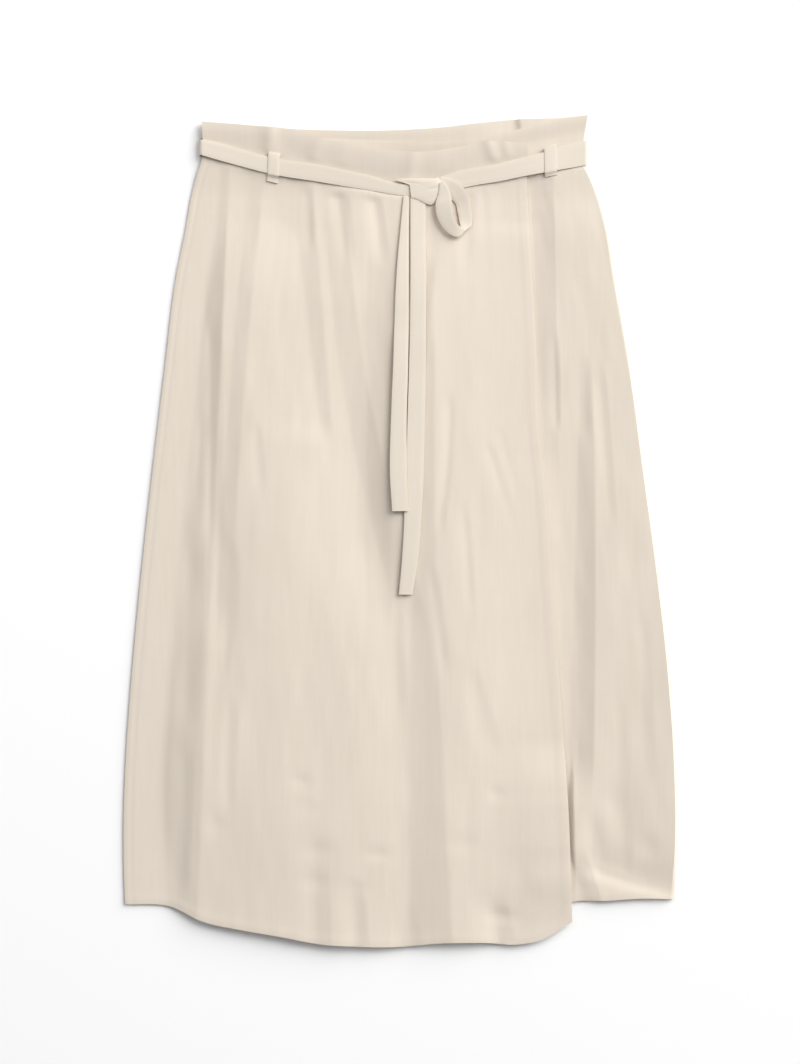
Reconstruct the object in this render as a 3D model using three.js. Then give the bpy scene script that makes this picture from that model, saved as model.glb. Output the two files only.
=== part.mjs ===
// A linen wrap skirt with a tie belt, laid flat on its back with the front up.
// Millimetres. X runs across the skirt, Y from hem to waist, Z up from the surface.
// The origin is on the surface, at the middle of the skirt's outline.
import * as THREE from 'three';

// Cloth and the gap between pieces that lie on each other.
const CLOTH = 1.4;
const BELT = 1.2;
const LOOP = 1.1;
const GAP = 0.3;
const LAYER = CLOTH + GAP;

// Share of the under front's columns that lie hidden beneath the over front, and how far past
// the free edge the last of them lies.
const HIDDEN_SHARE = 0.28;
const HIDDEN_PAST = 4;

// Height of the waistband under each top edge. At its left corner the back's seam lies higher.
const BAND = 37;
const BACK_CORNER = { rise: 9, from: -120, to: -190 };

// Soft fullness below the belt: its height, how far below the belt it starts and is whole, the
// share left at the hem and how far above the hem that starts, and the least that a fold leaves.
const FULLNESS = { high: 7.5, start: 8, whole: 54, hemShare: 0.65, hemReach: 140, least: 2 };

// How far in from the side seams the fullness is whole, with the share that rises close to the
// left one. The under front is less full than the over front.
const RIM = { leftClose: 12, leftFar: 70, closeShare: 0.35, right: 90, underShare: 0.75 };

// Along its free edge the over front lies lower, over this width, by these shares above and below.
const EDGE = { reach: 120, shareAbove: 0.6, shareBelow: 0.4, above: 100, below: -40 };

// The under front lies close beneath that edge, but for a slit low down, and parts from it to
// either side over these widths.
const CLOSE = { share: 0.9, hidden: 24, shown: 24, slitTop: -200, slitBottom: -380, slitEase: 50 };

// The over front comes up onto the under front's hidden edge, and the belt comes down off its own.
const STEP_UP = { from: -34, to: -10 };
const STEP_DOWN = { from: 6, to: 20 };

// The cloth bends over the belt's back stretch from this far beside it to that far.
const LIFT_FROM = 4;
const LIFT_TO = 40;

// Rows of points just below the waist seam, where the cloth bends most, are this far apart.
const FINE_ROW = 8;
const FINE_ROWS = 7;

// Both side edges, from the top of the waist down to the hem.
const SIDES = [
  { y: -362, left: -264.8, right: 262.4 },
  { y: -330, left: -266.0, right: 264.8 },
  { y: -282, left: -266.4, right: 266.4 },
  { y: -234, left: -265.0, right: 265.4 },
  { y: -138, left: -258.5, right: 259.2 },
  { y: -42, left: -249.5, right: 248.5 },
  { y: 54, left: -239.0, right: 235.5 },
  { y: 150, left: -227.5, right: 222.5 },
  { y: 246, left: -215.5, right: 206.5 },
  { y: 294, left: -206.0, right: 198.5 },
  { y: 318, left: -202.0, right: 192.0 },
  { y: 345, left: -195.0, right: 181.0 },
  { y: 352, left: -192.5, right: 177.4 },
  { y: 358, left: -191.0, right: 176.5 },
  { y: 373, left: -190.0, right: 176.0 },
  { y: 400, left: -191.5, right: 180.0 },
];

// Free edge of the over front, which shows, and of the under front, hidden at the left.
const FREE_EDGES = [
  { y: -376, over: 165.0, under: -148 },
  { y: -264, over: 161.0, under: -140 },
  { y: -162, over: 154.0, under: -134 },
  { y: -55, over: 146.5, under: -128 },
  { y: 37, over: 139.5, under: -122 },
  { y: 110, over: 132.0, under: -118 },
  { y: 174, over: 130.5, under: -114 },
  { y: 260, over: 125.5, under: -110 },
  { y: 340, over: 121.5, under: -106 },
  { y: 372, over: 121.0, under: -104 },
];

// Top edges of the waistband's three stretches, each higher one behind the one before.
const TOP_OVER = [
  { x: -192, y: 393.5 },
  { x: -144, y: 389.5 },
  { x: -104, y: 385.0 },
  { x: -80, y: 378.0 },
  { x: -55, y: 372.5 },
  { x: -20, y: 366.5 },
  { x: 20, y: 364.0 },
  { x: 59, y: 369.5 },
  { x: 80, y: 374.0 },
  { x: 100, y: 373.8 },
  { x: 121, y: 371.5 },
];
const TOP_UNDER = [
  { x: -104, y: 380.0 },
  { x: -50, y: 376.0 },
  { x: 9, y: 373.5 },
  { x: 61, y: 376.5 },
  { x: 95, y: 381.0 },
  { x: 129, y: 390.5 },
  { x: 153, y: 395.5 },
  { x: 180, y: 399.6 },
];
const TOP_BACK = [
  { x: -192, y: 393.8 },
  { x: -144, y: 390.0 },
  { x: -104, y: 386.5 },
  { x: -58, y: 385.0 },
  { x: 0, y: 385.5 },
  { x: 38, y: 388.0 },
  { x: 76, y: 392.5 },
  { x: 105, y: 395.5 },
  { x: 153, y: 397.5 },
  { x: 180, y: 400.4 },
];

// Hems. The hidden ones end a little short of the hem that covers them.
const HEM_OVER = [
  { x: -266, y: -359.0 },
  { x: -219, y: -362.0 },
  { x: -192, y: -374.5 },
  { x: -154, y: -383.0 },
  { x: -116, y: -389.5 },
  { x: -77, y: -396.8 },
  { x: -40, y: -399.2 },
  { x: 0, y: -399.6 },
  { x: 38, y: -396.0 },
  { x: 76, y: -395.5 },
  { x: 115, y: -397.2 },
  { x: 134, y: -393.5 },
  { x: 165, y: -375.5 },
];
const HEM_UNDER = [
  { x: -148, y: -380 },
  { x: -80, y: -391 },
  { x: 0, y: -394 },
  { x: 80, y: -386 },
  { x: 130, y: -370 },
  { x: 168, y: -356.5 },
  { x: 200, y: -355.5 },
  { x: 230, y: -353.5 },
  { x: 266, y: -354.0 },
];
const HEM_BACK = [
  { x: -266, y: -354 },
  { x: -219, y: -356 },
  { x: -192, y: -366 },
  { x: -135, y: -380 },
  { x: -77, y: -390 },
  { x: 0, y: -391 },
  { x: 77, y: -382 },
  { x: 130, y: -366 },
  { x: 168, y: -352 },
  { x: 266, y: -350 },
];

// Upper and lower edge of the belt across the front, with the knot between x 8 and 39.
const BELT_EDGES = [
  { x: -194, upper: 376.5, lower: 362.0 },
  { x: -171, upper: 372.0, lower: 355.2 },
  { x: -150, upper: 366.0, lower: 349.4 },
  { x: -127, upper: 359.5, lower: 343.4 },
  { x: -77, upper: 351.4, lower: 335.0 },
  { x: -31, upper: 341.8, lower: 327.4 },
  { x: 8, upper: 332.7, lower: 321.6 },
  { x: 39, upper: 340.3, lower: 322.6 },
  { x: 57, upper: 345.8, lower: 328.6 },
  { x: 98, upper: 353.3, lower: 336.3 },
  { x: 121, upper: 359.5, lower: 341.1 },
  { x: 138, upper: 363.8, lower: 344.2 },
  { x: 151, upper: 368.6, lower: 346.6 },
  { x: 165, upper: 372.5, lower: 349.0 },
  { x: 180, upper: 375.4, lower: 351.8 },
];
const KNOT = {
  left: 8.3, right: 38.2, top: 338.5, bottomLeft: 320, bottomRight: 313, wallHeight: 2.6, dome: 3.2,
  topSag: 2, cornerRise: 4, cornerFrom: 0.75,
};
const TUCK = 4;

// The belt's back stretch lies on the surface, round both side edges and up onto the front.
const BELT_BACK = { left: -194, right: 180.6, yLeft: 369, yRight: 363.6, half: 9, onto: 11 };
const TURN_STEPS = 6;
const BACK_STEPS = 8;

// Folds: a trough's line from top to bottom, bowed sideways at the middle. Left of the line it
// rises gently over its reach, and right of it steeply over its width, up to a crisp crest. Width
// and depth are given at the top and low down, then how far it takes to fade in and out.
const FOLD_COLUMNS = [
  'x1', 'y1', 'x2', 'y2', 'bow', 'gentle', 'wideTop', 'wideLow', 'deepTop', 'deepLow', 'fadeIn', 'fadeOut',
];
const CREST_POWER = 1.5;
const FOLDS_OVER = [
  [-181, 335, -268, -382, 0, 80, 22, 72, 4.8, 7.5, 20, 1],
  [-172, 20, -178, -150, 0, 18, 20, 26, 1.2, 1.2, 80, 80],
  [-146, 325, -176, -60, -3, 20, 14, 14, 2.3, 1.6, 15, 60],
  [-106, 325, -78, 110, 0, 36, 22, 11, 4.2, 1.2, 12, 30],
  [-70, 322, -24, -10, -11, 50, 20, 28, 2.4, 3.8, 20, 140],
  [-32, 300, -34, -20, 0, 44, 26, 26, 3.4, 3.0, 70, 150],
  [21, 200, 9, -402, -6, 40, 12, 42, 1.8, 5.4, 40, 1],
  [105, -160, 118, -402, 0, 44, 26, 30, 2.6, 3.6, 80, 1],
];
const FOLDS_UNDER = [
  [124, 345, 136, 80, 0, 60, 21, 16, 4.4, 2.0, 6, 50],
  [172, 170, 160, -270, 2, 36, 12, 30, 1.6, 5.6, 50, 60],
  [212, 60, 214, -402, 0, 30, 50, 62, 0.5, 3.0, 100, 1],
];

// Belt loops, with how far each reaches above and below the belt.
const LOOPS = [
  { name: 'belt_loop_left', x: -122, slant: -2.4, half: 5.4, head: 4.8, foot: 7.6 },
  { name: 'belt_loop_right', x: 144.4, slant: 1.6, half: 6, head: 3.8, foot: 4.4 },
];

// A loop lies over the belt up to the first of these distances past its edge and is down at the
// second.
const LOOP_CREST = 1;
const LOOP_BEND = 2.8;

// The two hanging ends of the belt, from the knot down.
const END_SHORT = [
  { y: 19, x: -0.1, half: 7.7 },
  { y: 49, x: -1.7, half: 8.2 },
  { y: 107, x: -1.6, half: 7.5 },
  { y: 155, x: 0.0, half: 7.2 },
  { y: 251, x: 2.2, half: 5.7 },
  { y: 304, x: 4.5, half: 3.4 },
  { y: 321.4, x: 5.3, half: 2.6 },
];
const END_LONG = [
  { y: -61, x: 4.9, half: 6.5 },
  { y: -28, x: 9.1, half: 7.7 },
  { y: 30, x: 12.7, half: 8.4 },
  { y: 107, x: 15.1, half: 8.4 },
  { y: 193, x: 16.8, half: 7.7 },
  { y: 320.8, x: 16.8, half: 7.2 },
];
const END_STEPS = 26;
const END_TOP = 322;

// Each end clears the folds this far beside it and this far above and below. Where the ends lie
// side by side, up to the second height, the short one only clears the cloth.
const END_CLEAR = 4;
const END_REACH = 14;
const ENDS_CROSS = { over: 150, beside: 200 };

// The half bow: out of the knot behind, down to the turn, and back up in front.
// x and y are the ribbon's middle, rise its height over what it lies on, and wx, wy and wz
// point from the middle to its edge.
const BOW = [
  { x: 39.6, y: 334.0, rise: 1.5, wx: 0.6, wy: 7.4, wz: 0.0 },
  { x: 46.0, y: 331.0, rise: 1.6, wx: 4.6, wy: 6.4, wz: 0.2 },
  { x: 53.0, y: 323.0, rise: 1.8, wx: 7.2, wy: 3.8, wz: 0.3 },
  { x: 57.0, y: 311.0, rise: 2.4, wx: 7.8, wy: 1.4, wz: 0.4 },
  { x: 59.5, y: 298.0, rise: 2.2, wx: 7.8, wy: 1.2, wz: 0.6 },
  { x: 60.0, y: 288.5, rise: 2.6, wx: 7.0, wy: 2.4, wz: 1.2 },
  { x: 57.0, y: 284.0, rise: 5.0, wx: 5.8, wy: 3.0, wz: 2.6 },
  { x: 51.0, y: 287.0, rise: 8.0, wx: 5.6, wy: 3.0, wz: 3.2 },
  { x: 46.0, y: 294.5, rise: 10.0, wx: 6.6, wy: 1.8, wz: 2.6 },
  { x: 42.5, y: 305.0, rise: 11.6, wx: 7.6, wy: 1.8, wz: 1.6 },
  { x: 41.2, y: 315.5, rise: 11.4, wx: 7.8, wy: 2.4, wz: 1.0 },
  { x: 39.6, y: 325.0, rise: 9.4, wx: 6.0, wy: 2.8, wz: 0.6 },
  { x: 38.4, y: 335.4, rise: 5.0, wx: 2.4, wy: 1.6, wz: 0.2 },
];
const BOW_STEPS = 30;

const LINEN = { color: 0xe0d5c4, roughness: 0.88, metalness: 0 };
const BELT_LINEN = { color: 0xe3d9c9, roughness: 0.86, metalness: 0 };

// A smooth curve through one column of a table, read by another column.
function curve(rows, key, value) {
  const at = new THREE.CubicInterpolant(rows.map((row) => row[key]), rows.map((row) => row[value]), 1);
  return (position) => at.evaluate(position)[0];
}

const mix = THREE.MathUtils.lerp;

// A soft step from 0 to 1 between two values, which may fall as well as rise.
function smooth(from, to, value) {
  const share = THREE.MathUtils.clamp((value - from) / (to - from), 0, 1);
  return share * share * (3 - 2 * share);
}

const sideLeft = curve(SIDES, 'y', 'left');
const sideRight = curve(SIDES, 'y', 'right');
const edgeOver = curve(FREE_EDGES, 'y', 'over');
const edgeUnder = curve(FREE_EDGES, 'y', 'under');
const topOver = curve(TOP_OVER, 'x', 'y');
const topUnder = curve(TOP_UNDER, 'x', 'y');
const topBack = curve(TOP_BACK, 'x', 'y');
const hemOver = curve(HEM_OVER, 'x', 'y');
const hemUnder = curve(HEM_UNDER, 'x', 'y');
const hemBack = curve(HEM_BACK, 'x', 'y');
const beltUpper = curve(BELT_EDGES, 'x', 'upper');
const beltLower = curve(BELT_EDGES, 'x', 'lower');

// Waist seams. The over front's runs under the middle of the belt.
const seamOver = (x) => (beltUpper(x) + beltLower(x)) / 2;
const seamUnder = (x) => topUnder(x) - BAND;
const seamBack = (x) => topBack(x) - BAND + BACK_CORNER.rise * smooth(BACK_CORNER.from, BACK_CORNER.to, x);

// What the belt's back stretch adds to the height of all that lies over it.
function lift(x, y) {
  const along = (x - BELT_BACK.left) / (BELT_BACK.right - BELT_BACK.left);
  const away = Math.abs(y - mix(BELT_BACK.yLeft, BELT_BACK.yRight, along));
  return (BELT + GAP) * (1 - smooth(BELT_BACK.half + LIFT_FROM, BELT_BACK.half + LIFT_TO, away));
}

// How deep the folds in a table cut into the fullness at a point.
function folded(table, x, y) {
  let sum = 0;
  for (const values of table) {
    const fold = Object.fromEntries(FOLD_COLUMNS.map((name, k) => [name, values[k]]));
    const down = (fold.y1 - y) / (fold.y1 - fold.y2);
    const share = THREE.MathUtils.clamp(down, 0, 1);
    const away = x - mix(fold.x1, fold.x2, down) - fold.bow * 4 * down * (1 - down);
    const climb = THREE.MathUtils.clamp(away / mix(fold.wideTop, fold.wideLow, share), 0, 1);
    const shape = away > 0 ? 1 - climb ** CREST_POWER : Math.exp(-((away / fold.gentle) ** 2));
    const fades = smooth(0, fold.fadeIn, fold.y1 - y) * smooth(0, fold.fadeOut, y - fold.y2 + fold.fadeOut);
    sum += mix(fold.deepTop, fold.deepLow, share) * fades * shape;
  }
  return sum;
}

// Fullness left after the folds, which never reach the layer underneath.
function relief(table, x, y, shape) {
  const full = FULLNESS.high - folded(table, x, y);
  const { least } = FULLNESS;
  return shape * (full > least ? full : least * Math.exp((full - least) / least));
}

// How full the cloth is by its distance below the belt and above the hem.
function fullAt(hem, x, y) {
  const below = smooth(FULLNESS.start, FULLNESS.whole, beltLower(x) - y);
  return below * mix(FULLNESS.hemShare, 1, smooth(0, FULLNESS.hemReach, y - hem(x)));
}

function reliefOver(x, y) {
  const inward = x - sideLeft(y);
  const side = mix(smooth(0, RIM.leftFar, inward), smooth(0, RIM.leftClose, inward), RIM.closeShare);
  const share = mix(EDGE.shareBelow, EDGE.shareAbove, smooth(EDGE.below, EDGE.above, y));
  const edge = mix(share, 1, smooth(0, EDGE.reach, edgeOver(y) - x));
  return relief(FOLDS_OVER, x, y, fullAt(hemOver, x, y) * side * edge);
}

function reliefUnder(x, y) {
  const side = RIM.underShare * smooth(0, RIM.right, sideRight(y) - x);
  const own = relief(FOLDS_UNDER, x, y, fullAt(hemUnder, x, y) * side);
  const beyond = x - edgeOver(y);
  const { slitTop, slitBottom, slitEase } = CLOSE;
  const slit = smooth(slitTop, slitTop - slitEase, y) * smooth(slitBottom, slitBottom + slitEase, y);
  const edge = CLOSE.share * reliefOver(edgeOver(y), y) * (1 - slit);
  return mix(edge * smooth(-CLOSE.hidden, -2, beyond), own, smooth(0, CLOSE.shown, beyond));
}

// Undersides of the three layers at a point.
const underBack = (x, y) => lift(x, y);
const underUnder = (x, y) => lift(x, y) + LAYER + reliefUnder(x, y);
function underOver(x, y) {
  const onTop = smooth(STEP_UP.from, STEP_UP.to, x - edgeUnder(y));
  return lift(x, y) + LAYER * (1 + onTop) + reliefOver(x, y);
}

// Upper side of whatever the belt lies on: past the free edge it comes down one layer.
function cover(x, y) {
  const up = smooth(STEP_UP.from, STEP_UP.to, x - edgeUnder(y));
  const down = smooth(STEP_DOWN.from, STEP_DOWN.to, x - edgeOver(y));
  return lift(x, y) + LAYER * (1 + up - down) + CLOTH;
}

// A closed wall of cloth: rows of points on its outer side and on its inner side.
function wall(across, along, outer, inner) {
  const points = [];
  for (const side of [outer, inner]) {
    for (let j = 0; j <= along; j += 1) {
      for (let i = 0; i <= across; i += 1) {
        points.push(...side(i / across, j / along).toArray());
      }
    }
  }
  const wide = across + 1;
  const half = wide * (along + 1);
  const out = (i, j) => j * wide + i;
  const inn = (i, j) => half + j * wide + i;
  const faces = [];
  const quad = (a, b, c, d) => faces.push(a, b, c, a, c, d);
  for (let j = 0; j < along; j += 1) {
    for (let i = 0; i < across; i += 1) {
      quad(out(i, j), out(i, j + 1), out(i + 1, j + 1), out(i + 1, j));
      quad(inn(i, j), inn(i + 1, j), inn(i + 1, j + 1), inn(i, j + 1));
    }
    quad(out(0, j), inn(0, j), inn(0, j + 1), out(0, j + 1));
    quad(out(across, j + 1), inn(across, j + 1), inn(across, j), out(across, j));
  }
  for (let i = 0; i < across; i += 1) {
    quad(out(i + 1, 0), inn(i + 1, 0), inn(i, 0), out(i, 0));
    quad(out(i, along), inn(i, along), inn(i + 1, along), out(i + 1, along));
  }
  const geometry = new THREE.BufferGeometry();
  geometry.setAttribute('position', new THREE.Float32BufferAttribute(points, 3));
  geometry.setIndex(faces);
  geometry.computeVertexNormals();
  return geometry;
}

// A panel of cloth. xAt gives the line of each column, top and bottom its two edges, high and
// low about where they lie, and fine how many of its rows are close together at the top.
function panel({ across, along, xAt, top, bottom, high, low, under, fine }) {
  const side = (raise) => (u, v) => {
    const row = v * along;
    const yTop = top(xAt(u, high));
    const yFine = yTop - fine * FINE_ROW;
    const yLow = mix(yFine, bottom(xAt(u, low)), (row - fine) / (along - fine));
    const y = row < fine ? yTop - row * FINE_ROW : yLow;
    const x = xAt(u, y);
    return new THREE.Vector3(x, y, under(x, y) + raise);
  };
  return wall(across, along, side(CLOTH), side(0));
}

// A ribbon through a list of stations, each with a middle and a vector to its edge.
function ribbon(stations) {
  const last = stations.length - 1;
  const side = (sign) => (u, v) => {
    const k = Math.round(v * last);
    const here = stations[k];
    const along = stations[Math.min(k + 1, last)].middle.clone().sub(stations[Math.max(k - 1, 0)].middle);
    const out = along.cross(here.edge).setLength(sign * BELT / 2);
    return here.middle.clone().addScaledVector(here.edge, 2 * u - 1).add(out);
  };
  return wall(2, last, side(1), side(-1));
}

// Columns of the three layers. The under front's crowd into the part that shows.
const columnsBack = (u, y) => mix(sideLeft(y), sideRight(y), u);
const columnsOver = (u, y) => mix(sideLeft(y), edgeOver(y), u);
function columnsUnder(u, y) {
  const last = edgeOver(y) + HIDDEN_PAST;
  if (u < HIDDEN_SHARE) return mix(edgeUnder(y), last, u / HIDDEN_SHARE);
  return mix(last, sideRight(y), (u - HIDDEN_SHARE) / (1 - HIDDEN_SHARE));
}

// A layer of the skirt is a panel below the waist seam and a waistband above it.
function skirtPanel(layer) {
  const top = (x) => layer.seam(x) - GAP / 2;
  const rows = { along: layer.rows, fine: FINE_ROWS };
  return panel({ ...layer, ...rows, top, bottom: layer.hem, high: 350, low: -365 });
}
function waistband(layer) {
  const bottom = (x) => layer.seam(x) + GAP / 2;
  return panel({ ...layer, along: 5, bottom, high: 380, low: 350, fine: 0 });
}

const LAYERS = [
  { name: 'back', across: 24, rows: 14, xAt: columnsBack, top: topBack, seam: seamBack, hem: hemBack,
    under: underBack },
  { name: 'under', across: 24, rows: 18, xAt: columnsUnder, top: topUnder, seam: seamUnder, hem: hemUnder,
    under: underUnder },
  { name: 'over', across: 44, rows: 22, xAt: columnsOver, top: topOver, seam: seamOver, hem: hemOver,
    under: underOver },
];

// A stretch of belt across the front, from one x to another.
function beltFront(from, to, steps) {
  const side = (raise) => (u, v) => {
    const x = mix(from, to, u);
    const y = mix(beltUpper(x), beltLower(x), v);
    return new THREE.Vector3(x, y, cover(x, y) + GAP + raise);
  };
  return wall(steps, 2, side(BELT), side(0));
}

// The belt's back stretch: from the front, round one edge, along the surface, round the other.
function beltBack() {
  const { left, right, yLeft, yRight, half, onto } = BELT_BACK;
  const top = cover(left, yLeft) + GAP + BELT / 2;
  const bottom = BELT / 2;
  const radius = (top - bottom) / 2;
  const stations = [];
  const add = (x, z, yFlat) => {
    const front = smooth(bottom, top, z);
    const yFront = mix((beltUpper(x) + beltLower(x)) / 2, yFlat, 1 - front);
    const width = mix(half, (beltUpper(x) - beltLower(x)) / 2, front);
    stations.push({ middle: new THREE.Vector3(x, yFront, z), edge: new THREE.Vector3(0, width, 0) });
  };
  const turn = (middle, direction, yFlat, from, to) => {
    for (let k = 0; k <= TURN_STEPS; k += 1) {
      const angle = mix(from, to, k / TURN_STEPS);
      add(middle + direction * radius * Math.cos(angle), bottom + radius + radius * Math.sin(angle), yFlat);
    }
  };
  const middleLeft = left + BELT / 2 + radius;
  const middleRight = right - BELT / 2 - radius;
  add(left + onto - GAP, top, yLeft);
  turn(middleLeft, -1, yLeft, Math.PI / 2, -Math.PI / 2);
  for (let k = 1; k < BACK_STEPS; k += 1) {
    const share = k / BACK_STEPS;
    add(mix(middleLeft, middleRight, share), bottom, mix(yLeft, yRight, share));
  }
  turn(middleRight, 1, yRight, -Math.PI / 2, Math.PI / 2);
  add(right - onto + GAP, top, yRight);
  return ribbon(stations);
}

// A belt loop, sewn down above and below the belt and raised over it.
function beltLoop({ x, slant, half, head, foot }) {
  const rows = [
    { share: 1, off: head, over: 0 },
    { share: 1, off: LOOP_BEND, over: 0 },
    { share: 1, off: LOOP_CREST, over: 1 },
    { share: 0.5, off: 0, over: 1 },
    { share: 0, off: -LOOP_CREST, over: 1 },
    { share: 0, off: -LOOP_BEND, over: 0 },
    { share: 0, off: -foot, over: 0 },
  ];
  const side = (raise) => (u, v) => {
    const row = rows[Math.round(v * (rows.length - 1))];
    const xAt = x + slant * (v - 0.5) + half * (2 * u - 1);
    const y = mix(beltLower(xAt), beltUpper(xAt), row.share) + row.off;
    return new THREE.Vector3(xAt, y, cover(xAt, y) + GAP + (BELT + GAP) * row.over + raise);
  };
  return wall(2, rows.length - 1, side(LOOP), side(0));
}

// The knot: a slanted block of wound belt, domed over, on the belt that passes under it.
function knot() {
  const { left, right, top, bottomLeft, bottomRight, wallHeight, dome } = KNOT;
  const { topSag, cornerRise, cornerFrom } = KNOT;
  const base = cover(0, top) + 2 * GAP + BELT;
  const place = (u, v, z) => {
    const slanted = mix(bottomLeft, bottomRight, smooth(0, cornerFrom, u));
    const low = slanted + cornerRise * smooth(cornerFrom, 1, u);
    const y = mix(top - topSag * (2 * u - 1) ** 6, low, v);
    return new THREE.Vector3(mix(left, right, u), y, z);
  };
  const outer = (u, v) => {
    const round = (1 - (2 * u - 1) ** 4) * (1 - (2 * v - 1) ** 4);
    return place(u, v, base + wallHeight + dome * round);
  };
  return wall(10, 8, outer, (u, v) => place(u, v, base));
}

// The half bow, a ribbon that rises from the cloth and the belt that it lies on.
function bow() {
  const middles = [];
  const edges = [];
  for (const row of BOW) {
    const rests = Math.max(cover(row.x, row.y) + GAP + BELT, underOver(row.x, row.y) + CLOTH);
    middles.push(new THREE.Vector3(row.x, row.y, rests + row.rise));
    edges.push(new THREE.Vector3(row.wx, row.wy, row.wz));
  }
  const line = new THREE.CatmullRomCurve3(middles, false, 'catmullrom');
  const width = new THREE.CatmullRomCurve3(edges, false, 'catmullrom');
  const stations = [];
  for (let k = 0; k <= BOW_STEPS; k += 1) {
    stations.push({ middle: line.getPoint(k / BOW_STEPS), edge: width.getPoint(k / BOW_STEPS) });
  }
  return ribbon(stations);
}

// Height at which a ribbon that lies on the over front clears every fold near a place. Close
// to the knot it looks less far down, so that the ribbon comes out from beneath the knot.
function restOver(x, y, half) {
  const reach = Math.min(END_REACH, (END_TOP - y) / 2);
  let highest = 0;
  for (const dx of [-1, -0.5, 0, 0.5, 1]) {
    for (const dy of [-reach, 0, reach]) {
      highest = Math.max(highest, underOver(x + dx * (half + END_CLEAR), y + dy));
    }
  }
  return highest + CLOTH + GAP;
}

// A hanging end of the belt, lying on the over front or, further down, on the other end.
function hangingEnd(rows, below) {
  const middle = curve(rows, 'y', 'x');
  const half = curve(rows, 'y', 'half');
  const rest = (y) => {
    const own = restOver(middle(y), y, half(y));
    const overBoth = Math.max(own, below(y) + BELT + 2 * GAP);
    return mix(own, overBoth, smooth(ENDS_CROSS.beside, ENDS_CROSS.over, y));
  };
  const stations = [];
  for (let k = 0; k <= END_STEPS; k += 1) {
    const y = mix(rows[rows.length - 1].y, rows[0].y, k / END_STEPS);
    stations.push({
      middle: new THREE.Vector3(middle(y), y, rest(y) + BELT / 2),
      edge: new THREE.Vector3(half(y), 0, 0),
    });
  }
  return { geometry: ribbon(stations), rest };
}

function piece(name, geometry, look) {
  const mesh = new THREE.Mesh(geometry, new THREE.MeshStandardMaterial(look));
  mesh.name = name;
  return mesh;
}

const model = new THREE.Group();
for (const layer of LAYERS) {
  model.add(piece(layer.name === 'back' ? 'back_panel' : `front_${layer.name}`, skirtPanel(layer), LINEN));
  model.add(piece(`waistband_${layer.name}`, waistband(layer), LINEN));
}
model.add(piece('belt_back', beltBack(), BELT_LINEN));
const beltLeft = beltFront(BELT_BACK.left + BELT_BACK.onto, KNOT.left + TUCK, 24);
const beltRight = beltFront(KNOT.right - TUCK, BELT_BACK.right - BELT_BACK.onto, 18);
model.add(piece('belt_front_left', beltLeft, BELT_LINEN));
model.add(piece('belt_front_right', beltRight, BELT_LINEN));
for (const loop of LOOPS) model.add(piece(loop.name, beltLoop(loop), LINEN));
model.add(piece('belt_knot', knot(), BELT_LINEN));
model.add(piece('belt_bow', bow(), BELT_LINEN));
const endLong = hangingEnd(END_LONG, () => 0);
model.add(piece('belt_end_long', endLong.geometry, BELT_LINEN));
model.add(piece('belt_end_short', hangingEnd(END_SHORT, endLong.rest).geometry, BELT_LINEN));

export default model;
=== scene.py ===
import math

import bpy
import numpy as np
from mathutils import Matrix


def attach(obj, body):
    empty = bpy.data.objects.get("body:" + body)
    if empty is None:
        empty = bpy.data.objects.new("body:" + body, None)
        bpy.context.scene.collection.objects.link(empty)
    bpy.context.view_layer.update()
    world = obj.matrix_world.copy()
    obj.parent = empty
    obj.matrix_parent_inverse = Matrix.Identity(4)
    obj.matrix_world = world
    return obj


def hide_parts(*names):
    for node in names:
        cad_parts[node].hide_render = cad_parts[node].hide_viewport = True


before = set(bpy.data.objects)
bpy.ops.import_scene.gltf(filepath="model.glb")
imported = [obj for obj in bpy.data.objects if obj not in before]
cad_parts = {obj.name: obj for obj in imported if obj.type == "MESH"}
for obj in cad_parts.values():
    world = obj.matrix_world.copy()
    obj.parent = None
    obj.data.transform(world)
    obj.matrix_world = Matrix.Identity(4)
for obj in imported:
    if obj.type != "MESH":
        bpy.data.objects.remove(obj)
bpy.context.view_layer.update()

# %% [markdown]
# # A linen wrap skirt, laid flat with its front up
#
# The skirt lies on its back on a pale surface and is seen from straight above. Sizes below are in
# millimetres, X across the skirt, Y from hem to waist and Z up, and become metres when a mesh is
# made. Three layers of cloth lie on each other: the back, the under front and the over front. Each
# is a panel below the waist seam and a waistband above it. A tie belt goes round the waist through
# two loops and ends in a knot, a half bow and two hanging ends.
#
# Cloth like this could be draped by simulation. Here each layer is a surface worked out from where
# its points lie, because every fold then falls where the real one does.

MM = 0.001

# %% [markdown]
# ## Outline of the cut pieces
#
# A pattern cutter writes a piece down as a few points on its edge and joins them with a smooth
# curve. The tables below do the same. Each row is a point, and a cubic joins each pair of rows.


# %% Tables of the outline
def table(columns, rows):
    """Named columns from rows of numbers."""
    return {name: np.array(values, float) for name, values in zip(columns.split(), zip(*rows))}


SIDES = table("y left right", [
    (-362, -264.8, 262.4), (-330, -266.0, 264.8), (-282, -266.4, 266.4), (-234, -265.0, 265.4),
    (-138, -258.5, 259.2), (-42, -249.5, 248.5), (54, -239.0, 235.5), (150, -227.5, 222.5),
    (246, -215.5, 206.5), (294, -206.0, 198.5), (318, -202.0, 192.0), (345, -195.0, 181.0),
    (352, -192.5, 177.4), (358, -191.0, 176.5), (373, -190.0, 176.0), (400, -191.5, 180.0),
])
FREE_EDGES = table("y over under", [
    (-376, 165.0, -148), (-264, 161.0, -140), (-162, 154.0, -134), (-55, 146.5, -128),
    (37, 139.5, -122), (110, 132.0, -118), (174, 130.5, -114), (260, 125.5, -110),
    (340, 121.5, -106), (372, 121.0, -104),
])
TOP_OVER = table("x y", [
    (-192, 393.5), (-144, 389.5), (-104, 385.0), (-80, 378.0), (-55, 372.5), (-20, 366.5),
    (20, 364.0), (59, 369.5), (80, 374.0), (100, 373.8), (121, 371.5),
])
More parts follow.
